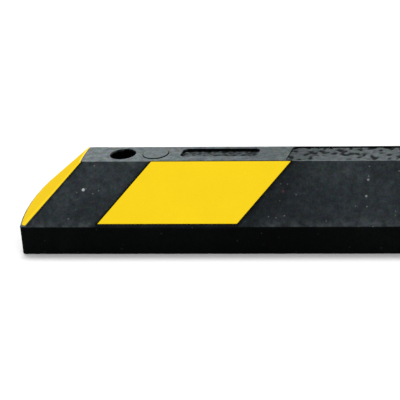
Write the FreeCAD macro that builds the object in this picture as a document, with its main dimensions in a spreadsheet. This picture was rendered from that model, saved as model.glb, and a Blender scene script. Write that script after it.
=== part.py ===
import FreeCAD, Part
import os
import Sketcher
from FreeCAD import Placement, Rotation, Vector

# A moulded rubber parking stop: a long bar with sloped sides and sloped ends, inlaid reflective tapes,
# anchor holes with steel washers, and the push-in plugs that close them.
# Origin: the centre of the base, on the ground. +X runs along the bar, +Z is up. Millimetres.

SIZES = {
    "bar_length": 1828.8,  # over the crowns of both ends
    "bar_width": 152.4,
    "bar_height": 101.6,
    "top_width": 45.4,
    "edge_height": 36.0,  # the upright band below the slopes
    "end_run": 71.0,  # how far each end leans in, from the upright band to the top
    "end_crown": 6.2,  # how far each end bows out between its round corners
    "top_crown": 0.6,  # the same at the level of the top
    "corner_run": 4.2,  # how far a round corner reaches along the side
    "corner_width": 5.0,  # and how far it reaches in from the side
    "top_corner_run": 1.0,
    "top_corner_width": 1.2,
    "hole_from_top_end": 50.5,  # outer anchor hole's axis, from the end of the flat top
    "bore_width": 20.0,
    "counterbore_width": 33.0,
    "counterbore_depth": 25.0,
    "washer_width": 32.0,
    "washer_hole": 20.6,
    "washer_thickness": 3.0,
    "plug_offset": 42.3,  # from an anchor hole to its plug, towards the middle of the bar
    "plug_cap_width": 32.0,
    "plug_cap_height": 3.2,
    "plug_chamfer": 0.5,
    "plug_seat_width": 33.0,
    "plug_seat_depth": 2.0,
    "plug_stem_width": 17.6,
    "plug_rib_width": 18.6,
    "plug_rib_pitch": 7.0,
    "plug_stem_length": 26.0,
    "socket_width": 19.0,
    "socket_depth": 32.0,
    "slot_from_top_end": 174.2,  # to the slot's middle
    "slot_length": 98.8,
    "slot_width": 24.0,
    "slot_depth": 4.2,
    "slot_corner": 6.0,
    "slot_shift": 4.0,  # off the bar's length line: to the rear at the left end, to the front at the right
    "panel_from_top_end": 263.8,  # to the panel's near end
    "panel_length": 253.0,
    "panel_width": 42.6,
    "panel_depth": 2.0,
    "panel_corner": 4.0,
    "cell_length": 96.0,
    "cell_width": 92.0,
    "cell_depth": 42.0,
    "cell_corner": 10.0,
    "cell_pitch": 116.0,
    "stripe_from_end": 220.0,  # the first tape's middle, from the end of the straight sides
    "stripe_width": 178.6,
    "stripe_lean": 66.7,  # over the whole height of the slope
    "stripe_low_margin": 4.4,
    "stripe_top_margin": 0.6,  # less than the groove, so the recess opens into the top
    "tape_thickness": 1.2,
    "tape_groove": 1.0,  # open joint round each tape
    "end_tape_depth": 1.8,  # measured along the bar
    "end_tape_low": 2.0,
    "end_tape_top": 0.4,  # less than the groove, so the recess opens into the top
    "end_tape_bed": 0.1,  # adhesive behind the end tape
    "end_recess_wall": 0.6,  # the recess goes in squarely this far before it turns round the corner
}

STRIPES = 4
ENDS = (-1, 1)

doc = FreeCAD.newDocument("parking_stop")
sheet = doc.addObject("Spreadsheet::Sheet", "Sizes")
for row, (alias, number) in enumerate(SIZES.items(), start=1):
    sheet.set("A%d" % row, alias)
    sheet.set("B%d" % row, str(number))
    sheet.setAlias("B%d" % row, alias)
doc.recompute()


def bind(text):
    """Put the sheet's name before every size that an expression mentions."""
    words = []
    word = ""
    for letter in text + " ":
        if letter.isalnum() or letter == "_":
            word += letter
            continue
        words.append("Sizes." + word if word in SIZES else word)
        words.append(letter)
        word = ""
    return "".join(words).strip()


def value(text):
    """The number that an expression in the sheet's sizes comes to."""
    number = sheet.evalExpression(bind(text))
    return float(getattr(number, "Value", number))


# Expressions that several pieces share.
RISE = "(bar_height - edge_height)"
RUN = "((bar_width - top_width) / 2)"
SLOPE_LENGTH = "sqrt(%s ^ 2 + %s ^ 2)" % (RISE, RUN)
END_X = "(bar_length / 2 - end_crown)"
TOP_END_X = "(%s - end_run)" % END_X
OUTER_HOLE_X = "(%s - hole_from_top_end)" % TOP_END_X
ANCHOR_STATIONS = [OUTER_HOLE_X + " * " + share for share in ("(-1)", "(-1 / 3)", "1 / 3", "1")]
PLUG_STATIONS = [
    station + (" + plug_offset" if value(station) < 0 else " - plug_offset")
    for station in ANCHOR_STATIONS
]


def new_body(label):
    body = doc.addObject("PartDesign::Body", label)
    body.Label = label
    return body


def origin_part(body, role):
    return next(part for part in body.Origin.OriginFeatures if part.Role == role)


def level_sketch(body, name, height="0"):
    """A sketch parallel to the ground, at a height."""
    sketch = body.newObject("Sketcher::SketchObject", name)
    sketch.AttachmentSupport = [(origin_part(body, "XY_Plane"), "")]
    sketch.MapMode = "FlatFace"
    sketch.setExpression("AttachmentOffset.Base.z", bind(height))
    return sketch


def slope_sketch(body, name):
    """A sketch on the front slope: x along the bar, y up the slope, from the slope's lower edge."""
    sketch = level_sketch(body, name, "edge_height")
    sketch.AttachmentOffset = Placement(Vector(0, 0, 0), Rotation(Vector(1, 0, 0), 45))
    sketch.setExpression("AttachmentOffset.Base.y", bind("-bar_width / 2"))
    sketch.setExpression("AttachmentOffset.Rotation.Angle", bind("atan(%s / %s)" % (RISE, RUN)))
    return sketch


def pin_point(sketch, curve, end, x, y):
    """Tie one end of a curve to a place that the sheet drives."""
    for kind, text in (("DistanceX", x), ("DistanceY", y)):
        index = sketch.addConstraint(Sketcher.Constraint(kind, -1, 1, curve, end, value(text)))
        sketch.setExpression("Constraints[%d]" % index, bind(text))


def add_circle(sketch, x, y, width):
    centre = Vector(value(x), value(y), 0)
    curve = sketch.addGeometry(Part.Circle(centre, Vector(0, 0, 1), value(width) / 2))
    pin_point(sketch, curve, 3, x, y)
    index = sketch.addConstraint(Sketcher.Constraint("Diameter", curve, value(width)))
    sketch.setExpression("Constraints[%d]" % index, bind(width))


def add_outline(sketch, corners, bows=None):
    """A closed outline through corners. bows maps a side's index to how far it bows out to its right."""
    bows = bows or {}
    count = len(corners)
    curves = []
    starts = []
    for side, (start, end) in enumerate(zip(corners, corners[1:] + corners[:1])):
        first = Vector(value(start[0]), value(start[1]), 0)
        last = Vector(value(end[0]), value(end[1]), 0)
        if side not in bows:
            curves.append(sketch.addGeometry(Part.LineSegment(first, last)))
            starts.append(1)
            continue
        bow = value(bows[side])
        chord = last - first
        middle = (first + last) / 2 + Vector(chord.y, -chord.x, 0).normalize() * bow
        # An arc is drawn anticlockwise, so one that bows to the left starts at the side's far end.
        ends = (first, last) if bow > 0 else (last, first)
        curves.append(sketch.addGeometry(Part.Arc(ends[0], middle, ends[1])))
        starts.append(1 if bow > 0 else 2)
    for side in range(count):
        after = (side + 1) % count
        joint = (curves[side], 3 - starts[side], curves[after], starts[after])
        sketch.addConstraint(Sketcher.Constraint("Coincident", *joint))
        pin_point(sketch, curves[side], starts[side], *corners[side])
    for side, bow in bows.items():
        (x0, y0), (x1, y1) = corners[side], corners[(side + 1) % count]
        chord = "(((%s) - (%s)) ^ 2 + ((%s) - (%s)) ^ 2)" % (x0, x1, y0, y1)
        radius = "(%s / 4 + (%s) ^ 2) / (2 * abs(%s))" % (chord, bow, bow)
        index = sketch.addConstraint(Sketcher.Constraint("Radius", curves[side], value(radius)))
        sketch.setExpression("Constraints[%d]" % index, bind(radius))


def add_rounded_box(sketch, x, length, width, corner, y="0"):
    """A rectangle with round corners and its middle at x and y."""
    middle = Vector(value(x), value(y), 0)
    half_x, half_y, radius = value(length) / 2, value(width) / 2, value(corner)
    signs = ((-1, -1), (1, -1), (1, 1), (-1, 1))
    lines = []
    arcs = []
    for side in range(4):
        a, b = signs[side], signs[(side + 1) % 4]
        along = Vector((b[0] - a[0]) / 2, (b[1] - a[1]) / 2, 0)
        start = middle + Vector(a[0] * half_x, a[1] * half_y, 0) + along * radius
        end = middle + Vector(b[0] * half_x, b[1] * half_y, 0) - along * radius
        lines.append(sketch.addGeometry(Part.LineSegment(start, end)))
        turn = Vector(-along.y, along.x, 0)
        centre = end + turn * radius
        bend = centre + (along - turn) * (radius / 2**0.5)
        arcs.append(sketch.addGeometry(Part.Arc(end, bend, centre + along * radius)))
    for side in range(4):
        following = lines[(side + 1) % 4]
        level = "Horizontal" if side % 2 == 0 else "Vertical"
        sketch.addConstraint(Sketcher.Constraint(level, lines[side]))
        sketch.addConstraint(Sketcher.Constraint("Tangent", lines[side], 2, arcs[side], 1))
        sketch.addConstraint(Sketcher.Constraint("Tangent", arcs[side], 2, following, 1))
        if side:
            sketch.addConstraint(Sketcher.Constraint("Equal", arcs[0], arcs[side]))
    edges = (
        ("DistanceY", lines[0], "%s - (%s) / 2" % (y, width)),
        ("DistanceX", lines[1], "%s + (%s) / 2" % (x, length)),
        ("DistanceY", lines[2], "%s + (%s) / 2" % (y, width)),
        ("DistanceX", lines[3], "%s - (%s) / 2" % (x, length)),
    )
    for kind, line, text in edges:
        index = sketch.addConstraint(Sketcher.Constraint(kind, -1, 1, line, 1, value(text)))
        sketch.setExpression("Constraints[%d]" % index, bind(text))
    index = sketch.addConstraint(Sketcher.Constraint("Radius", arcs[0], radius))
    sketch.setExpression("Constraints[%d]" % index, bind(corner))


def volume(body):
    doc.recompute()
    return body.Shape.Volume


def pad(body, sketch, length, inward=False):
    feature = body.newObject("PartDesign::Pad", "pad_" + sketch.Name)
    feature.Profile = sketch
    feature.setExpression("Length", bind(length))
    feature.Reversed = inward
    return feature


def pocket(body, sketch, depth, upward=False):
    """Cut a sketch into the body, and make sure that it takes material away."""
    before = volume(body)
    feature = body.newObject("PartDesign::Pocket", "cut_" + sketch.Name)
    feature.Profile = sketch
    feature.Reversed = upward
    feature.setExpression("Length", bind(depth))
    if volume(body) >= before:
        raise RuntimeError(sketch.Name + " cuts nothing")
    return feature


def loft(body, kind, sections):
    feature = body.newObject(kind, "loft_" + sections[0].Name)
    feature.Profile = sections[0]
    feature.Sections = sections[1:]
    feature.Ruled = True
    return feature


def half_turn(body, features, name):
    """Repeat features at the other end and on the rear side, half a turn about the upright axis."""
    before = volume(body)
    pattern = body.newObject("PartDesign::PolarPattern", name)
    pattern.Originals = features
    pattern.Axis = (origin_part(body, "Z_Axis"), [""])
    pattern.Angle = 360
    pattern.Occurrences = 2
    body.Tip = pattern
    if volume(body) >= before:
        raise RuntimeError(name + " repeats nothing")


def blend(low, high, share):
    """The size part of the way from the foot of the slopes to the top."""
    return "(%s * (1 - %s) + %s * %s)" % (low, share, high, share)


def slice_sizes(share):
    """A level slice of the bar: where its side and its end lie, and how far its corners reach."""
    side = blend("bar_width / 2", "top_width / 2", share)
    end = "(%s - end_run * %s)" % (END_X, share)
    run = blend("corner_run", "top_corner_run", share)
    width = blend("corner_width", "top_corner_width", share)
    crown = blend("end_crown", "top_crown", share)
    corner_bow = "(0.134 * sqrt(%s ^ 2 + %s ^ 2))" % (run, width)
    return side, end, "(%s - %s)" % (end, run), "(%s - %s)" % (side, width), crown, corner_bow


def plan_outline(sketch, share="0"):
    """The whole bar seen from above at one level: straight sides, round corners and bowed ends."""
    side, end, side_end, end_side, crown, corner_bow = slice_sizes(share)
    corners = [("-" + side_end, "-" + side), (side_end, "-" + side)]
    corners += [(end, "-" + end_side), (end, end_side)]
    corners += [(side_end, side), ("-" + side_end, side)]
    corners += [("-" + end, end_side), ("-" + end, "-" + end_side)]
    bows = {1: corner_bow, 2: crown, 3: corner_bow, 5: corner_bow, 6: crown, 7: corner_bow}
    add_outline(sketch, corners, bows)


def stripe_centre(index):
    return "(2 * %d / %d - 1) * (%s - stripe_from_end)" % (index, STRIPES - 1, END_X)


def add_stripe(sketch, index, grow="0"):
    """A leaning tape on the slope, or its recess, which is larger all round by grow."""
    low = "(stripe_low_margin - (%s))" % grow
    high = "(%s - stripe_top_margin + (%s))" % (SLOPE_LENGTH, grow)
    slant = "sqrt(1 + (stripe_lean / %s) ^ 2)" % SLOPE_LENGTH
    half = "(stripe_width / 2 + (%s) * %s)" % (grow, slant)
    corners = []
    for level, side in ((low, "-"), (low, "+"), (high, "+"), (high, "-")):
        shift = "stripe_lean * (%s / %s - 0.5)" % (level, SLOPE_LENGTH)
        corners.append(("%s + %s %s %s" % (stripe_centre(index), shift, side, half), level))
    add_outline(sketch, corners)


def end_slice(body, name, level, cutter=False):
    """A level slice of the left end's tape, or of the cutter for its recess, which starts outside."""
    share = "(((%s) - edge_height) / %s)" % (level, RISE)
    side, end, side_end, end_side, crown, corner_bow = slice_sizes(share)
    depth = "(end_tape_depth + end_tape_bed)" if cutter else "end_tape_depth"
    inner_end = "(%s - %s)" % (depth, end)
    inner_side = "(%s%s - %s)" % (depth, " + tape_groove" if cutter else "", side_end)
    wall = "(%s - end_recess_wall)" % side if cutter else side
    inside = [(inner_side, "-" + wall), (inner_end, "-" + end_side)]
    inside += [(inner_end, end_side), (inner_side, wall)]
    if cutter:
        clear_x, clear_y = "-bar_length / 2 - end_run / 4", "(bar_width / 2 + end_run / 4)"
        outside = [(inner_side, clear_y), (clear_x, clear_y)]
        outside += [(clear_x, "-" + clear_y), (inner_side, "-" + clear_y)]
        bows = {}
    else:
        outside = [("-" + side_end, side), ("-" + end, end_side)]
        outside += [("-" + end, "-" + end_side), ("-" + side_end, "-" + side)]
        bows = {0: corner_bow, 1: crown, 2: corner_bow}
    bows.update({4: "-" + corner_bow, 5: "-" + crown, 6: "-" + corner_bow})
    sketch = level_sketch(body, name, level)
    add_outline(sketch, outside + inside, bows)
    return sketch


def make_bar():
    body = new_body("rubber_bar")
    base = level_sketch(body, "base_outline")
    plan_outline(base)
    pad(body, base, "edge_height")
    shoulder = level_sketch(body, "shoulder_outline", "edge_height")
    plan_outline(shoulder)
    crown = level_sketch(body, "crown_outline", "bar_height")
    plan_outline(crown, "1")
    loft(body, "PartDesign::AdditiveLoft", [shoulder, crown])

    round_cuts = (
        ("counterbores", ANCHOR_STATIONS, "counterbore_width", "counterbore_depth"),
        ("anchor_bores", ANCHOR_STATIONS, "bore_width", "bar_height"),
        ("plug_seats", PLUG_STATIONS, "plug_seat_width", "plug_seat_depth"),
        ("plug_sockets", PLUG_STATIONS, "socket_width", "socket_depth"),
    )
    for name, stations, width, depth in round_cuts:
        sketch = level_sketch(body, name, "bar_height")
        for station in stations:
            add_circle(sketch, station, "0", width)
        pocket(body, sketch, depth)

    top_recesses = (
        ("slot", "(%s - slot_from_top_end)" % TOP_END_X, "slot_shift"),
        ("panel", "(%s - panel_from_top_end - panel_length / 2)" % TOP_END_X, "0"),
    )
    for name, middle, shift in top_recesses:
        sketch = level_sketch(body, name + "s", "bar_height")
        for end in ENDS:
            place = ("%d * %s" % (end, middle), "%d * %s" % (-end, shift))
            outline = (name + "_length", name + "_width", name + "_corner")
            add_rounded_box(sketch, place[0], *outline, y=place[1])
        pocket(body, sketch, name + "_depth")

    # Hollow cells under the bar, four in each of the three bays between the anchor holes.
    cells = level_sketch(body, "underside_cells")
    for bay in (-1, 0, 1):
        for cell in range(4):
            station = "%d * 2 / 3 * %s + (%d - 1.5) * cell_pitch" % (bay, OUTER_HOLE_X, cell)
            add_rounded_box(cells, station, "cell_length", "cell_width", "cell_corner")
    pocket(body, cells, "cell_depth", upward=True)

    recesses = slope_sketch(body, "stripe_recesses")
    for index in range(STRIPES):
        add_stripe(recesses, index, "tape_groove")
    front_recesses = pocket(body, recesses, "tape_thickness")
    half_turn(body, [front_recesses], "rear_recesses")

    low = "edge_height + end_tape_low - tape_groove"
    top = "bar_height - end_tape_top + tape_groove"
    slices = [
        end_slice(body, "end_recess_low", low, cutter=True),
        end_slice(body, "end_recess_top", top, cutter=True),
    ]
    left_recess = loft(body, "PartDesign::SubtractiveLoft", slices)
    half_turn(body, [left_recess], "right_recess")
    return body


def make_stripe_tape(label, index, turn):
    """One tape of the front slope, or of the rear slope when it is turned about the upright axis."""
    body = new_body(label)
    sketch = slope_sketch(body, label + "_outline")
    add_stripe(sketch, index)
    pad(body, sketch, "tape_thickness", inward=True)
    body.Placement = Placement(Vector(0, 0, 0), Rotation(Vector(0, 0, 1), turn))
    return body


def make_end_tape(label, turn):
    body = new_body(label)
    low = "edge_height + end_tape_low"
    top = "bar_height - end_tape_top"
    slices = [end_slice(body, label + "_low", low), end_slice(body, label + "_top", top)]
    loft(body, "PartDesign::AdditiveLoft", slices)
    body.Placement = Placement(Vector(0, 0, 0), Rotation(Vector(0, 0, 1), turn))
    return body


def make_plug(label, station):
    """A push-in rubber plug: a flat cap on a stem with three barbs, turned about its axis."""
    body = new_body(label)
    seat = "(bar_height - plug_seat_depth)"
    top = "(%s + plug_cap_height)" % seat
    tip = "(%s - plug_stem_length)" % seat
    cap, stem, rib = "plug_cap_width / 2", "plug_stem_width / 2", "plug_rib_width / 2"
    outline = [("0", tip), ("0", top), (cap + " - plug_chamfer", top)]
    outline += [(cap, top + " - plug_chamfer"), (cap, seat), (stem, seat)]
    for barb in range(1, 4):
        ledge = "%s - %d * plug_rib_pitch" % (seat, barb)
        outline += [(stem, ledge), (rib, ledge), (stem, ledge + " - plug_rib_pitch / 2")]
    outline += [(stem, tip + " + plug_chamfer"), (stem + " - plug_chamfer", tip)]
    sketch = body.newObject("Sketcher::SketchObject", label + "_outline")
    sketch.AttachmentSupport = [(origin_part(body, "XZ_Plane"), "")]
    sketch.MapMode = "FlatFace"
    add_outline(sketch, outline)
    turned = body.newObject("PartDesign::Revolution", label + "_turned")
    turned.Profile = sketch
    turned.ReferenceAxis = (sketch, ["V_Axis"])
    turned.Angle = 360
    body.setExpression("Placement.Base.x", bind(station))
    return body


def make_washer(label, station):
    body = new_body(label)
    sketch = level_sketch(body, label + "_outline", "bar_height - counterbore_depth")
    add_circle(sketch, "0", "0", "washer_width")
    add_circle(sketch, "0", "0", "washer_hole")
    pad(body, sketch, "washer_thickness")
    body.setExpression("Placement.Base.x", bind(station))
    return body


def make_pieces():
    pieces = [make_bar()]
    for index in range(STRIPES):
        pieces.append(make_stripe_tape("front_tape_%d" % (index + 1), index, 0))
        pieces.append(make_stripe_tape("rear_tape_%d" % (index + 1), index, 180))
    pieces.append(make_end_tape("left_end_tape", 0))
    pieces.append(make_end_tape("right_end_tape", 180))
    for index, (anchor, plug) in enumerate(zip(ANCHOR_STATIONS, PLUG_STATIONS), start=1):
        pieces.append(make_plug("hole_plug_%d" % index, plug))
        pieces.append(make_washer("anchor_washer_%d" % index, anchor))
    return pieces


pieces = make_pieces()
doc.recompute()
for item in doc.Objects:
    if {"Invalid", "Error"} & set(item.State):
        raise RuntimeError("%s failed: %s" % (item.Name, item.State))
for piece in pieces:
    if piece.Shape.isNull() or not piece.Shape.isValid():
        raise RuntimeError(piece.Label + " has no valid shape")
os.makedirs("parts", exist_ok=True)
for piece in pieces:
    piece.Shape.exportStep("parts/%s.step" % piece.Label)
    print("%-18s %12.1f mm3" % (piece.Label, piece.Shape.Volume))
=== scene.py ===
"""A rubber parking stop on a pale floor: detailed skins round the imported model, camera and light."""

import math

import bmesh
import bpy
import numpy as np
from mathutils import Matrix, Vector, noise
from mathutils.geometry import delaunay_2d_cdt


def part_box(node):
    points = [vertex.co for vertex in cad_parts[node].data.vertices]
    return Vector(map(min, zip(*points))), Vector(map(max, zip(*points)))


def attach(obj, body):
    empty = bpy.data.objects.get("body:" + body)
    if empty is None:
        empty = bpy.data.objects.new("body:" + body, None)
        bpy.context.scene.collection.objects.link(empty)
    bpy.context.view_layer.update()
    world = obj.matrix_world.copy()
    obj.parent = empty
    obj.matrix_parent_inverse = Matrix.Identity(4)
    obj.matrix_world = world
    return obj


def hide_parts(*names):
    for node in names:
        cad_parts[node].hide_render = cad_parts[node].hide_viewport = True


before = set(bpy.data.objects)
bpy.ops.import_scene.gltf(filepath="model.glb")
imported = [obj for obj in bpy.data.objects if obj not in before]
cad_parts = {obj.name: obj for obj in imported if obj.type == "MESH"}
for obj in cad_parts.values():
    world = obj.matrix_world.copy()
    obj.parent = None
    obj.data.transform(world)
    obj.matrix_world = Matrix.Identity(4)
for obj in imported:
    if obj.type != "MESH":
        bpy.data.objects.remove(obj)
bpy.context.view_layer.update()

MM = 0.001
BAR_LOW, BAR_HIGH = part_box("rubber_bar")
HALF_LENGTH = BAR_HIGH.x
HALF_WIDTH = BAR_HIGH.y
HEIGHT = BAR_HIGH.z
PLUGS = [f"hole_plug_{i}" for i in range(1, 5)]
WASHERS = [f"anchor_washer_{i}" for i in range(1, 5)]
STRIPES = [f"{side}_tape_{i}" for side in ("front", "rear") for i in range(1, 5)]
END_TAPES = ["left_end_tape", "right_end_tape"]
TAPE_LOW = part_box(END_TAPES[0])[0].z

# the bar's section and its sloped ends
TOP_HALF_WIDTH = 22.7 * MM
EDGE_HEIGHT = 36 * MM  # of the upright band below the slopes
SLOPE_RISE = HEIGHT - EDGE_HEIGHT
SLOPE_RUN = HALF_WIDTH - TOP_HALF_WIDTH
SLOPE_LENGTH = math.hypot(SLOPE_RISE, SLOPE_RUN)
END_RUN = 71 * MM

# recesses in the rubber that have no piece of their own to give their place
SLOT_MIDDLE = 663 * MM
SLOT_DEPTH = 4.2 * MM
SLOT_SHIFT = 4 * MM  # off the length line, to the rear at the left end
PANEL_MIDDLE = 446.9 * MM
PANEL_HALF_LENGTH = 126.5 * MM
PANEL_DEPTH = 2 * MM
CELL_PITCH = 116 * MM
CELLS = 12

# the tapes' recesses
STRIPE_LEAN = 66.7 * MM  # over the whole height of the slope
STRIPE_HALF = 89.3 * MM
STRIPE_LOW, STRIPE_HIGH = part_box(STRIPES[0])
STRIPE_SHARE = ((STRIPE_LOW.z + STRIPE_HIGH.z) / 2 - EDGE_HEIGHT) / SLOPE_RISE
END_TAPE_EDGE = HALF_LENGTH - 12.5 * MM
END_TAPE_RUN = END_RUN - 3.5 * MM

# broad light and dark areas of the rubber
CLOUD_SIZE = 160 * MM
CLOUD_SEED = 114

# ---------------------------------------------------------------- camera

CAMERA_AZIMUTH = math.radians(17.29)
CAMERA_ELEVATION = math.radians(22.45)
CAMERA_ROLL = math.radians(6.93)
CAMERA_DISTANCE = 11.1
VIEW_WIDTH = 0.4943  # what the frame's width covers at the aim point
AIM = Vector((-HALF_LENGTH + 0.2194, 0.0, 0.0394))


def make_camera():
    data = bpy.data.cameras.new("camera")
    data.sensor_width = 36.0
    data.lens = data.sensor_width * CAMERA_DISTANCE / VIEW_WIDTH
    data.clip_end = 200.0
    camera = bpy.data.objects.new("camera", data)
    bpy.context.scene.collection.objects.link(camera)
    level = math.cos(CAMERA_ELEVATION)
    back = Vector((
        math.sin(CAMERA_AZIMUTH) * level,
        -math.cos(CAMERA_AZIMUTH) * level,
        math.sin(CAMERA_ELEVATION),
    ))
    turn = (-back).to_track_quat("-Z", "Y").to_matrix().to_4x4()
    roll = Matrix.Rotation(-CAMERA_ROLL, 4, "Z")
    camera.matrix_world = Matrix.Translation(AIM + back * CAMERA_DISTANCE) @ turn @ roll
    bpy.context.scene.camera = camera


# ---------------------------------------------------------------- fine meshes from the CAD solids


def middle_x(node):
    low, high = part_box(node)
    return (low.x + high.x) / 2


def solid(node, planes=()):
    """The CAD solid with flat faces made whole, but cut across at the given x, so that none has a hole."""
    bm = bmesh.new()
    bm.from_mesh(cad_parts[node].data)
    bmesh.ops.remove_doubles(bm, verts=bm.verts, dist=0.001 * MM)
    for x in planes:
        everything = bm.verts[:] + bm.edges[:] + bm.faces[:]
        cut = bmesh.ops.bisect_plane(
            bm, geom=everything, dist=0.01 * MM, plane_co=(x, 0, 0), plane_no=(1, 0, 0),
        )
        for item in cut["geom_cut"]:
            if isinstance(item, bmesh.types.BMEdge):
                item.seam = True
    bmesh.ops.dissolve_limit(
        bm, angle_limit=math.radians(0.3), verts=bm.verts, edges=bm.edges, delimit={"SEAM"},
    )
    return bm


def sharp(bm, least=math.radians(20)):
    return [e for e in bm.edges if e.is_manifold and e.calc_face_angle(0) > least]


def bevel(bm, edges, width, segments=2):
    bmesh.ops.bevel(
        bm, geom=edges, offset=width, offset_type="OFFSET", segments=segments,
        profile=0.5, affect="EDGES", clamp_overlap=False,
    )
    bmesh.ops.dissolve_degenerate(bm, dist=0.02 * MM, edges=bm.edges)
    bm.normal_update()


def inside(points, outline):
    """Which points lie inside a closed outline, by counting the sides to their right."""
    found = np.zeros(len(points), bool)
    x, y = points[:, 0], points[:, 1]
    for (x0, y0), (x1, y1) in zip(outline, np.roll(outline, -1, axis=0)):
        if y0 == y1:
            continue
        crosses = (y0 > y) != (y1 > y)
        found ^= crosses & (x < (x1 - x0) * (y - y0) / (y1 - y0) + x0)
    return found


def fill_points(outline, step, rng):
    """Jittered points over the inside of a flat outline, at least half a step from its sides."""
    low, high = outline.min(0), outline.max(0)
    rows = np.arange(low[1] + step / 2, high[1], step * 0.866)
    columns = np.arange(low[0] + step / 2, high[0], step)
    if not len(rows) or not len(columns):
        return np.zeros((0, 2))
    grid = np.array([(x + (i % 2) * step / 2, y) for i, y in enumerate(rows) for x in columns])
    grid += rng.uniform(-0.16, 0.16, grid.shape) * step
    grid = grid[inside(grid, outline)]
    keep = np.ones(len(grid), bool)
    for a, b in zip(outline, np.roll(outline, -1, axis=0)):
        near = (
            (grid[:, 0] > min(a[0], b[0]) - step) & (grid[:, 0] < max(a[0], b[0]) + step)
            & (grid[:, 1] > min(a[1], b[1]) - step) & (grid[:, 1] < max(a[1], b[1]) + step)
        )
        if not near.any():
            continue
        side = b - a
        share = np.clip(((grid[near] - a) @ side) / max(side @ side, 1e-12), 0, 1)
        gap = np.linalg.norm(grid[near] - (a + share[:, None] * side), axis=1)
        keep[np.flatnonzero(near)[gap < 0.5 * step]] = False
    return grid[keep]


def refine(bm, step_of, seed):
    """Points and even triangles of the same shape. step_of gives a face's spacing, or 0 for a coarse one."""
    rng = np.random.default_rng(seed)
    bm.faces.ensure_lookup_table()
    bm.verts.index_update()
    bm.edges.index_update()
    steps = [step_of(face) for face in bm.faces]
    points = [v.co.copy() for v in bm.verts]
    cuts = []
    for edge in bm.edges:
        step = min((steps[f.index] for f in edge.link_faces if steps[f.index]), default=1.0)
        count = max(1, math.ceil(edge.calc_length() / step))
        a, b = edge.verts
        first = len(points)
        points.extend(a.co.lerp(b.co, i / count) for i in range(1, count))
        cuts.append((a, list(range(first, len(points)))))
    triangles = []
    for face in bm.faces:
        ring = []
        for loop in face.loops:
            start, between = cuts[loop.edge.index]
            ring.append(loop.vert.index)
            ring.extend(between if loop.vert == start else reversed(between))
        if len(ring) == 3:
            triangles.append(tuple(ring))
            continue
        origin = face.verts[0].co
        longest = max(face.edges, key=lambda e: e.calc_length())
        along = (longest.verts[1].co - longest.verts[0].co).normalized()
        across = face.normal.cross(along).normalized()
        offsets = [points[i] - origin for i in ring]
        flat = np.array([(offset.dot(along), offset.dot(across)) for offset in offsets])
        extra = fill_points(flat, steps[face.index], rng) if steps[face.index] else np.zeros((0, 2))
        both = [Vector(p) for p in np.vstack([flat, extra]) / MM]
        sides = [(i, (i + 1) % len(ring)) for i in range(len(ring))]
        places, _, made, sources, _, _ = delaunay_2d_cdt(both, sides, [], 0, 1e-6, True)
        names = []
        for place, source in zip(places, sources):
            if source and source[0] < len(ring):
                names.append(ring[source[0]])
                continue
            names.append(len(points))
            points.append(origin + along * (place.x * MM) + across * (place.y * MM))
        if not made:
            continue
        made = np.array(made)
        middles = np.array([list(p) for p in places])[made].mean(1)
        made = made[inside(middles, np.array([list(p) for p in both[:len(ring)]]))]
        triangles.extend(tuple(names[i] for i in f) for f in made)
    return points, triangles


def smooth_step(low, high, value):
    share = np.clip((value - low) / (high - low), 0, 1)
    return share * share * (3 - 2 * share)


def speckle(points, size, seed):
    """Smooth noise from -1 to 1 at each point, with lumps of the given size."""
    shift = Vector((seed * 7.3, seed * 3.1, seed * 5.7))
    return np.array([noise.noise(Vector(p) / size + shift) for p in points])


def skin_mesh(name, points, triangles):
    """A closed smooth mesh, with creases only where the shape turns sharply."""
    mesh = bpy.data.meshes.new(name)
    mesh.from_pydata(points, [], triangles)
    bm = bmesh.new()
    bm.from_mesh(mesh)
    bmesh.ops.remove_doubles(bm, verts=bm.verts, dist=0.005 * MM)
    open_edges = [e for e in bm.edges if e.is_boundary]
    bmesh.ops.holes_fill(bm, edges=open_edges, sides=8)
    bmesh.ops.triangulate(bm, faces=[f for f in bm.faces if len(f.verts) > 3])
    bmesh.ops.recalc_face_normals(bm, faces=bm.faces)
    bm.to_mesh(mesh)
    bm.free()
    mesh.shade_smooth()
    mesh.set_sharp_from_angle(angle=math.radians(35))
    return mesh


def mesh_points(mesh):
    flat = np.empty(len(mesh.vertices) * 3)
    mesh.vertices.foreach_get("co", flat)
    normals = np.empty(len(mesh.vertices) * 3)
    mesh.vertex_normals.foreach_get("vector", normals)
    return flat.reshape(-1, 3), normals.reshape(-1, 3)


def push_out(mesh, points, normals, amount):
    moved = points + normals * amount[:, None]
    mesh.vertices.foreach_set("co", moved.ravel())
    mesh.update()


def store(mesh, name, values):
    """Keep one number for each point, for the material to read."""
    layer = mesh.attributes.new(name, "FLOAT", "POINT")
    layer.data.foreach_set("value", values.astype(np.float32))


def place(name, mesh, body, slot, material, *nodes):
    piece = bpy.data.objects.new(name, mesh)
    bpy.context.scene.collection.objects.link(piece)
    mesh.materials.append(material)
    crisp = piece.modifiers.new("crisp flats", "WEIGHTED_NORMAL")
    crisp.keep_sharp = True
    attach(piece, body)
    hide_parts(*nodes)
    return piece


# ---------------------------------------------------------------- materials


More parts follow.
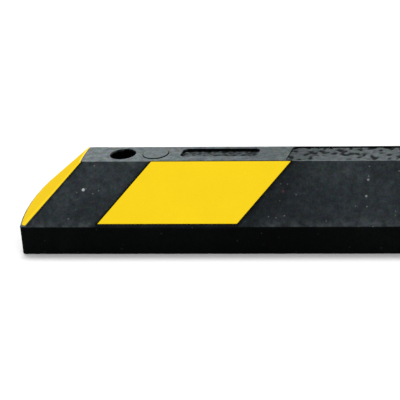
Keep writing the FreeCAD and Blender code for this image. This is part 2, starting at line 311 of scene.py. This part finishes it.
class Nodes:
    """Builds a node tree, one call for each node."""

    def __init__(self, tree):
        self.tree = tree

    def add(self, kind, inputs=None, **settings):
        made = self.tree.nodes.new(kind)
        for key, value in settings.items():
            setattr(made, key, value)
        for key, value in (inputs or {}).items():
            if isinstance(value, bpy.types.NodeSocket):
                self.tree.links.new(value, made.inputs[key])
            else:
                made.inputs[key].default_value = value
        return made

    def math(self, operation, a, b, clamp=False):
        return self.add("ShaderNodeMath", {0: a, 1: b}, operation=operation, use_clamp=clamp).outputs[0]

    def noise(self, coordinates, size, detail=2.0, roughness=0.5):
        return self.add("ShaderNodeTexNoise", {
            "Vector": coordinates, "Scale": 1 / size, "Detail": detail, "Roughness": roughness,
        })

    def spread(self, value, low, high, to_low=0.0, to_high=1.0):
        """The value stretched from low..high to to_low..to_high, and held within those."""
        return self.add("ShaderNodeMapRange", {
            "Value": value, "From Min": low, "From Max": high, "To Min": to_low, "To Max": to_high,
        }).outputs[0]

    def mix(self, share, a, b, blend="MIX"):
        made = self.add("ShaderNodeMix", data_type="RGBA", blend_type=blend, clamp_factor=True)
        for key, value in ((0, share), (6, a), (7, b)):
            if isinstance(value, bpy.types.NodeSocket):
                self.tree.links.new(value, made.inputs[key])
            else:
                made.inputs[key].default_value = value
        return made.outputs[2]

    def grey(self, value):
        return self.add("ShaderNodeCombineColor", {0: value, 1: value, 2: value}).outputs[0]

    def attribute(self, name):
        return self.add("ShaderNodeAttribute", attribute_name=name).outputs["Fac"]

    def grains(self, coordinates, pitch, radius, share):
        """1 in small round grains, one for each cell of the given pitch, of which only a share is there."""
        cells = self.add("ShaderNodeTexVoronoi", {"Vector": coordinates, "Scale": 1 / pitch})
        near = self.spread(cells.outputs["Distance"], radius / pitch, 0.55 * radius / pitch)
        picked = self.add("ShaderNodeSeparateColor", {0: cells.outputs["Color"]}).outputs[0]
        return self.math("MULTIPLY", near, self.math("LESS_THAN", picked, share))


def new_material(name):
    material = bpy.data.materials.new(name)
    material.use_nodes = True
    nodes = Nodes(material.node_tree)
    shader = material.node_tree.nodes["Principled BSDF"]
    return material, nodes, shader


def colour(red, green, blue):
    return (red, green, blue, 1.0)


def rubber(name, seed, stops, mottle, speck_share, big_grains=()):
    """Recycled rubber with pale and coloured grains, its colour set by how far it faces up: painted shade
    makes upright faces near black, and painted light with some dust makes faces that look up pale grey.

    A piece that keeps no "pit" or "wear" has none.
    """
    material, nodes, shader = new_material(name)
    link = material.node_tree.links.new
    start = nodes.add("ShaderNodeTexCoord").outputs["Object"]
    shift = (seed, 2 * seed, 3 * seed)
    where = nodes.add("ShaderNodeVectorMath", {0: start, 1: shift}, operation="ADD").outputs[0]
    normal = nodes.add("ShaderNodeNewGeometry").outputs["Normal"]
    upward = nodes.add("ShaderNodeSeparateXYZ", {0: normal}).outputs[2]
    broad = nodes.noise(where, 34 * MM, 3.0).outputs["Fac"]
    middle = nodes.noise(where, 8 * MM, 2.0).outputs["Fac"]
    fine = nodes.noise(where, 2.4 * MM, 2.0).outputs["Fac"]
    # painted light and shade: the colour follows how far the surface faces up, with a little dust on faces
    # that look up
    dust_and_painted_light = nodes.math("ADD", upward, nodes.spread(broad, 0.3, 0.7, -0.035, 0.035))
    ramp = nodes.add("ShaderNodeValToRGB", {0: dust_and_painted_light})
    ramp.color_ramp.elements[0].position = stops[0][0]
    ramp.color_ramp.elements[0].color = colour(*stops[0][1])
    ramp.color_ramp.elements[1].position = stops[-1][0]
    ramp.color_ramp.elements[1].color = colour(*stops[-1][1])
    for position, tone in stops[1:-1]:
        ramp.color_ramp.elements.new(position).color = colour(*tone)
    middle_shade = nodes.spread(middle, 0.3, 0.7, 1 - mottle, 1 + mottle)
    fine_shade = nodes.spread(fine, 0.3, 0.7, 1 - mottle, 1 + mottle)
    shade = nodes.math("MULTIPLY", middle_shade, fine_shade)
    painted_shade = nodes.attribute("painted_shade")
    # painted shade: where the painted_shade attribute is 1 the rubber is darkened to 0.12 of its colour
    shade = nodes.math("MULTIPLY", shade, nodes.spread(painted_shade, 0, 1, 1.0, 0.12))
    cloud = nodes.attribute("cloud")
    shade = nodes.math("MULTIPLY", shade, nodes.spread(cloud, -0.4, 0.35, 0.70, 1.09))
    base = nodes.mix(1.0, ramp.outputs[0], nodes.grey(shade), "MULTIPLY")
    tint = nodes.noise(where, 5 * MM, 1.0).outputs["Color"]
    tint = nodes.mix(0.3, colour(1, 1, 1), nodes.mix(1.0, tint, colour(2, 2, 2), "MULTIPLY"))
    base = nodes.mix(1.0, base, tint, "MULTIPLY")
    worn = nodes.math("MULTIPLY", nodes.attribute("wear"), nodes.spread(middle, 0.35, 0.7), True)
    base = nodes.mix(worn, base, colour(0.13, 0.14, 0.145))
    # grains fade out in the painted shade and on upright faces, which keeps the painted shade there dark
    outside_painted_shade = nodes.spread(painted_shade, 0, 0.5, 1.0, 0.0)
    open_face = nodes.math("MULTIPLY", outside_painted_shade, nodes.spread(upward, 0.1, 0.6, 0.15, 1.0))
    kinds = (
        (nodes.grains(where, 10 * MM, 1.3 * MM, speck_share), 0.24, colour(0.30, 0.31, 0.31)),
        (nodes.grains(where, 21 * MM, 1.4 * MM, 0.35), 0.35, colour(0.10, 0.028, 0.022)),
        (nodes.grains(where, 47 * MM, 2.2 * MM, 0.3), 0.7, colour(0.32, 0.33, 0.33)),
    )
    for grain, strength, tone in kinds:
        shown = nodes.math("MULTIPLY", open_face, strength)
        base = nodes.mix(nodes.math("MULTIPLY", grain, shown), base, tone)
    for spot, radius, tone in big_grains:
        distance = nodes.add("ShaderNodeVectorMath", {0: start, 1: spot}, operation="DISTANCE")
        away = distance.outputs["Value"]
        base = nodes.mix(nodes.spread(away, radius, 0.6 * radius), base, tone)
    link(base, shader.inputs["Base Color"])
    link(nodes.spread(middle, 0.3, 0.7, 0.82, 0.96), shader.inputs["Roughness"])
    shader.inputs["Specular IOR Level"].default_value = 0.025
    height = nodes.math("ADD", fine, nodes.math("MULTIPLY", middle, 1.5))
    bump = nodes.add("ShaderNodeBump", {"Height": height, "Strength": 0.35, "Distance": 0.6 * MM})
    link(bump.outputs[0], shader.inputs["Normal"])
    return material


def tape(name, tone, shaded_end_tone):
    """Beaded reflective sheet: an even yellow, with painted shade where it faces along the bar (a darker
    copy of the yellow, with no sheen), and finely grained.
    """
    material, nodes, shader = new_material(name)
    link = material.node_tree.links.new
    where = nodes.add("ShaderNodeTexCoord").outputs["Object"]
    bead_cells = nodes.add("ShaderNodeTexVoronoi", {"Vector": where, "Scale": 1 / (0.9 * MM)})
    beads = bead_cells.outputs["Distance"]
    broad = nodes.noise(where, 45 * MM, 3.0).outputs["Fac"]
    fine = nodes.noise(where, 1.6 * MM, 2.0).outputs["Fac"]
    broad_shade = nodes.spread(broad, 0.3, 0.7, 0.985, 1.015)
    shade = nodes.math("MULTIPLY", broad_shade, nodes.spread(fine, 0.3, 0.7, 0.98, 1.02))
    normal = nodes.add("ShaderNodeNewGeometry").outputs["Normal"]
    along = nodes.math("ABSOLUTE", nodes.add("ShaderNodeSeparateXYZ", {0: normal}).outputs[0], 0.0)
    # painted shade on the end faces: a darker yellow and no specular where the tape faces along the bar
    ends = nodes.spread(along, 0.25, 0.6)
    yellow = nodes.mix(ends, colour(*tone), colour(*shaded_end_tone))
    base = nodes.mix(1.0, yellow, nodes.grey(shade), "MULTIPLY")
    link(base, shader.inputs["Base Color"])
    link(nodes.spread(fine, 0.3, 0.7, 0.45, 0.6), shader.inputs["Roughness"])
    link(nodes.spread(ends, 0.0, 1.0, 0.06, 0.0), shader.inputs["Specular IOR Level"])
    bump = nodes.add("ShaderNodeBump", {"Height": beads, "Strength": 0.15, "Distance": 0.1 * MM})
    link(bump.outputs[0], shader.inputs["Normal"])
    return material


def zinc():
    """Zinc-plated steel, with the mottled passivation and fine scratches of a stamped washer."""
    material, nodes, shader = new_material("zinc plated steel")
    link = material.node_tree.links.new
    where = nodes.add("ShaderNodeTexCoord").outputs["Object"]
    cloud = nodes.noise(where, 6 * MM, 3.0).outputs["Fac"]
    fine = nodes.noise(where, 0.8 * MM, 3.0).outputs["Fac"]
    base = nodes.mix(nodes.spread(cloud, 0.35, 0.65), colour(0.46, 0.47, 0.49), colour(0.62, 0.61, 0.57))
    link(base, shader.inputs["Base Color"])
    shader.inputs["Metallic"].default_value = 1.0
    link(nodes.spread(fine, 0.3, 0.7, 0.3, 0.5), shader.inputs["Roughness"])
    bump = nodes.add("ShaderNodeBump", {"Height": fine, "Strength": 0.15, "Distance": 0.1 * MM})
    link(bump.outputs[0], shader.inputs["Normal"])
    return material


# the rubber's colour, by how far it faces up: painted light and shade, near black on upright faces and pale
# grey on faces that look up, with some dust there too
DUST_AND_PAINTED_LIGHT_TONES = [
    (0.00, (0.0016, 0.0021, 0.0020)),
    (0.35, (0.0070, 0.0088, 0.0094)),
    (0.63, (0.0190, 0.0238, 0.0268)),
    (1.00, (0.1020, 0.1175, 0.1215)),
]

# a few large grains on the front slope near the left end: place, radius and colour
BIG_GRAINS = [
    ((-829 * MM, -45.7 * MM, 73.3 * MM), 2.3 * MM, colour(0.36, 0.37, 0.37)),
    ((-573 * MM, -47.4 * MM, 71.3 * MM), 2.2 * MM, colour(0.046, 0.024, 0.025)),
    ((-466 * MM, -38.3 * MM, 82.4 * MM), 1.8 * MM, colour(0.16, 0.17, 0.17)),
    ((-467 * MM, -51.5 * MM, 66.3 * MM), 1.8 * MM, colour(0.16, 0.17, 0.17)),
]

# ---------------------------------------------------------------- the moulded bar


def depth_below_slope(y, z):
    """How far a point lies under the plane of the long slope on its side."""
    surface = HEIGHT - (abs(y) - TOP_HALF_WIDTH) * SLOPE_RISE / SLOPE_RUN
    return (surface - z) * SLOPE_RUN / SLOPE_LENGTH


def is_outer(face):
    """True for the faces of the plain hipped bar, and False for the walls of what is cut into it."""
    n, c = face.normal, face.calc_center_median()
    if n.z > 0.98:
        return c.z > HEIGHT - 0.3 * MM
    if n.z < -0.9:
        return c.z < 0.3 * MM
    if n.z < 0.3:
        return abs(c.y) > HALF_WIDTH - 0.3 * MM or abs(c.x) > HALF_LENGTH - 12 * MM
    if c.z < TAPE_LOW - 0.8 * MM:
        return True
    return abs(n.x) < 0.01 and depth_below_slope(c.y, c.z) < 0.3 * MM


def in_panel(x, y):
    return (abs(abs(x) - PANEL_MIDDLE) < PANEL_HALF_LENGTH + MM) & (abs(y) < TOP_HALF_WIDTH)


def round_tapes(x, y, z, middles):
    """Painted shadow round the tapes: darkest at their joints, spreading beside them and widest at their
    right, and full along the slope beside the end tapes.
    """
    share = np.clip((z - EDGE_HEIGHT) / SLOPE_RISE, 0, 1)
    facing = np.where(y < 0, x, -x) - STRIPE_LEAN * (share - STRIPE_SHARE)
    to_middle = np.array([facing - middle for middle in middles])
    nearest = np.abs(to_middle).argmin(axis=0)
    off = to_middle[nearest, np.arange(len(x))]
    gap = np.abs(off) - STRIPE_HALF
    painted_shadow = 1 - smooth_step(1.5 * MM, np.where(off > 0, 9 * MM, 3.5 * MM), gap)
    painted_shadow = np.maximum(painted_shadow, np.where(off > 0, 0.34 * (1 - smooth_step(10 * MM, 42 * MM, gap)), 0))
    depth = depth_below_slope(y, z)
    on_slope = (depth < 1.6 * MM) & (z > EDGE_HEIGHT) & (z < HEIGHT - 0.2 * MM)
    at_end = (np.abs(x) > END_TAPE_EDGE - END_TAPE_RUN * share - 1.7 * MM) & (z > TAPE_LOW)
    return np.where(on_slope, np.where(at_end, 1.0, painted_shadow), 0.0)


def bar_spacing(face):
    """Spacing of points: close where the rubber shows, and none where it is hidden."""
    n, c = face.normal, face.calc_center_median()
    if abs(n.z) < 0.1 and c.z > 70 * MM and abs(c.y) < 17 * MM:
        return 3 * MM
    if face.calc_area() < 4 * MM * MM:
        return 3 * MM
    if n.z > 0.98:
        if c.z > HEIGHT - 0.5 * MM:
            return 2.6 * MM
        if in_panel(c.x, c.y):
            return 1.5 * MM
        near_slot = abs(abs(c.x) - SLOT_MIDDLE) < 60 * MM
        return 1.6 * MM if near_slot and c.z > HEIGHT - SLOT_DEPTH - 0.5 * MM else 0
    if n.z > 0.3:
        return 3.3 * MM if is_outer(face) else 0
    if is_outer(face) and n.z > -0.5:
        return 3.8 * MM
    return 0


def bar_mesh(holes, stripes):
    """The bar's solid with rounded rims and even triangles."""
    recesses = [side * x for side in (-1, 1) for x in (SLOT_MIDDLE, PANEL_MIDDLE)]
    cells = [(i - (CELLS - 1) / 2) * CELL_PITCH for i in range(CELLS)]
    bm = solid("rubber_bar", sorted({round(x, 5) for x in holes + stripes + recesses + cells}))
    bevel(bm, [e for e in sharp(bm) if all(is_outer(f) for f in e.link_faces)], 0.6 * MM)
    rims = [
        e for e in sharp(bm)
        if e.is_convex and any(is_outer(f) for f in e.link_faces) and min(v.co.z for v in e.verts) > MM
    ]
    bevel(bm, rims, 0.3 * MM)
    mesh = skin_mesh("moulded_bar", *refine(bm, bar_spacing, 11))
    bm.free()
    return mesh


def rim_wear(points, normals, flat_areas):
    """How worn the rubber is along the rims of its long faces, and how much lighter it is made in a faint
    band just above the upright band.
    """
    x, y, z = points.T
    slope = (0, SLOPE_RISE / SLOPE_LENGTH, SLOPE_RUN / SLOPE_LENGTH)
    faces_of_bar = [(0, 0, 1), (0, 1, 0), (0, 0, -1), slope]
    folded = np.abs(normals) * (1, 1, 0) + normals * (0, 0, 1)
    flatness = np.max([folded @ np.array(face) for face in faces_of_bar], axis=0)
    end_lean = np.clip(z - EDGE_HEIGHT, 0, None) * END_RUN / SLOPE_RISE
    straight = (normals[:, 2] > 0.05) & (np.abs(x) < HALF_LENGTH - 14 * MM - end_lean)
    wear = np.where(straight & flat_areas, smooth_step(0.985, 0.95, flatness), 0.0)
    # a faint lighter band on the slope just above the upright band
    low_edge = 0.22 * smooth_step(EDGE_HEIGHT + 9 * MM, EDGE_HEIGHT, z)
    return np.where(z < EDGE_HEIGHT + 10 * MM, np.where(normals[:, 2] > 0.5, low_edge, 0.0), wear)


def make_bar(material):
    """The bar's skin, with the relief of its panel and slot, and what its material reads at each point."""
    holes = [middle_x(node) for node in PLUGS + WASHERS]
    stripes = [middle_x(node) for node in STRIPES]
    mesh = bar_mesh(holes, stripes)
    points, normals = mesh_points(mesh)
    x, y, z = points.T
    hole_gap = np.min([np.hypot(x - c, y) for c in holes], axis=0)
    # points hidden in the holes and under the bar: they get no relief and the darkest painted shade
    hidden = ((abs(y) < 50 * MM) & (z < 45 * MM)) | ((hole_gap < 17 * MM) & (z < HEIGHT - MM))
    free = np.where(hidden, 0.0, smooth_step(0, 6 * MM, z))
    panel = in_panel(x, y) & (z < HEIGHT - PANEL_DEPTH + 0.3 * MM) & (z > HEIGHT - 3 * MM)
    slot = (abs(abs(x) - SLOT_MIDDLE) < 51 * MM) & (abs(y + np.sign(x) * SLOT_SHIFT) < 13 * MM)
    slot &= abs(z - (HEIGHT - SLOT_DEPTH)) < 0.4 * MM

    lift = 0.22 * MM * speckle(points, 60 * MM, 1) + 0.09 * MM * speckle(points, 5 * MM, 2)
    dents = np.clip(speckle(points, 6.5 * MM, 3) * 2.6 - 0.15, 0, 1)
    ridges = np.clip(speckle(points, 3.5 * MM, 4) * 1.6, -1, 1)
    lumps = speckle(points, 4.5 * MM, 5)
    lift = np.where(panel, -0.8 * MM * dents + 0.25 * MM * ridges, lift)
    lift = np.where(slot, 0.9 * MM * lumps, lift)
    push_out(mesh, points, normals, lift * free)

    # painted shade in the hollows: the whole panel floor is darkened, most in its dents, and the slot floor
    # most where it is low
    painted_shade = np.where(panel, 0.8 * dents + 0.3, 0.0)
    painted_shade = np.where(slot, np.clip(0.62 - 0.9 * lumps, 0, 1), painted_shade)
    # painted shadow round the tapes
    painted_shade = np.maximum(painted_shade, 0.85 * round_tapes(x, y, z, stripes[:4]))
    wear = rim_wear(points, normals, ~hidden & ~panel & ~slot)
    wear *= 1 - np.clip(painted_shade * 4, 0, 1)
    # painted shade: hidden holes, hole walls and underside get the darkest painted shade
    store(mesh, "painted_shade", np.where(hidden, 1.0, painted_shade))
    store(mesh, "cloud", speckle(points, CLOUD_SIZE, CLOUD_SEED))
    store(mesh, "wear", wear)
    place("moulded_bar", mesh, "bar", "moulded_rubber", material, "rubber_bar")


# ---------------------------------------------------------------- the smaller pieces


def make_small(node, body, slot, material, rim, spacing, waviness):
    """The skin of a small piece: rounded rims, even triangles and a slightly uneven surface."""
    bm = solid(node)
    bevel(bm, [e for e in sharp(bm) if e.is_convex], rim)
    mesh = skin_mesh(node + "_skin", *refine(bm, lambda face: spacing, 5))
    bm.free()
    points, normals = mesh_points(mesh)
    push_out(mesh, points, normals, waviness * speckle(points, 25 * MM, 6))
    store(mesh, "cloud", speckle(points, CLOUD_SIZE, CLOUD_SEED))
    place(node + "_skin", mesh, body, slot, material, node)


# ---------------------------------------------------------------- light and floor


def make_light():
    world = bpy.data.worlds.new("pale studio")
    world.use_nodes = True
    world.node_tree.nodes["Background"].inputs["Color"].default_value = (1.0, 1.0, 1.0, 1.0)
    world.node_tree.nodes["Background"].inputs["Strength"].default_value = 0.95
    bpy.context.scene.world = world
    data = bpy.data.lights.new("soft key", "SUN")
    data.energy = 2.6
    data.angle = math.radians(27)
    sun = bpy.data.objects.new("soft key", data)
    to_sun = Vector((-0.12, 0.42, 0.92))
    sun.rotation_euler = to_sun.to_track_quat("Z", "Y").to_euler()
    bpy.context.scene.collection.objects.link(sun)
    bpy.context.scene.view_settings.view_transform = "Standard"


def make_floor():
    material, nodes, shader = new_material("pale floor")
    shader.inputs["Base Color"].default_value = colour(0.69, 0.69, 0.69)
    shader.inputs["Roughness"].default_value = 1.0
    shader.inputs["Specular IOR Level"].default_value = 0.0
    mesh = bpy.data.meshes.new("floor")
    reach = 400.0
    corners = [(-reach, -reach, 0), (reach, -reach, 0), (reach, reach, 0), (-reach, reach, 0)]
    mesh.from_pydata(corners, [], [(0, 1, 2, 3)])
    mesh.materials.append(material)
    floor = bpy.data.objects.new("floor", mesh)
    bpy.context.scene.collection.objects.link(floor)


make_camera()
make_light()
make_floor()
bar_rubber = rubber("moulded recycled rubber", 0.0, DUST_AND_PAINTED_LIGHT_TONES, 0.22, 0.5, BIG_GRAINS)
plug_rubber = rubber("plug rubber", 0.7, DUST_AND_PAINTED_LIGHT_TONES, 0.12, 0.2)
# the second yellow is the first one darkened, as painted shade on the end faces
yellow_tape = tape("yellow reflective tape", (0.80, 0.556, 0.0068), (0.584, 0.395, 0.0130))
steel = zinc()
make_bar(bar_rubber)
for sheet in STRIPES + END_TAPES:
    make_small(sheet, "bar", "reflective_tape", yellow_tape, 0.2 * MM, 4 * MM, 0.08 * MM)
for number, plug in enumerate(PLUGS, 1):
    make_small(plug, f"plug_{number}", "plug_rubber", plug_rubber, 0.25 * MM, 1.8 * MM, 0.1 * MM)
for washer in WASHERS:
    make_small(washer, "bar", "zinc_steel", steel, 0.25 * MM, 3 * MM, 0.0)
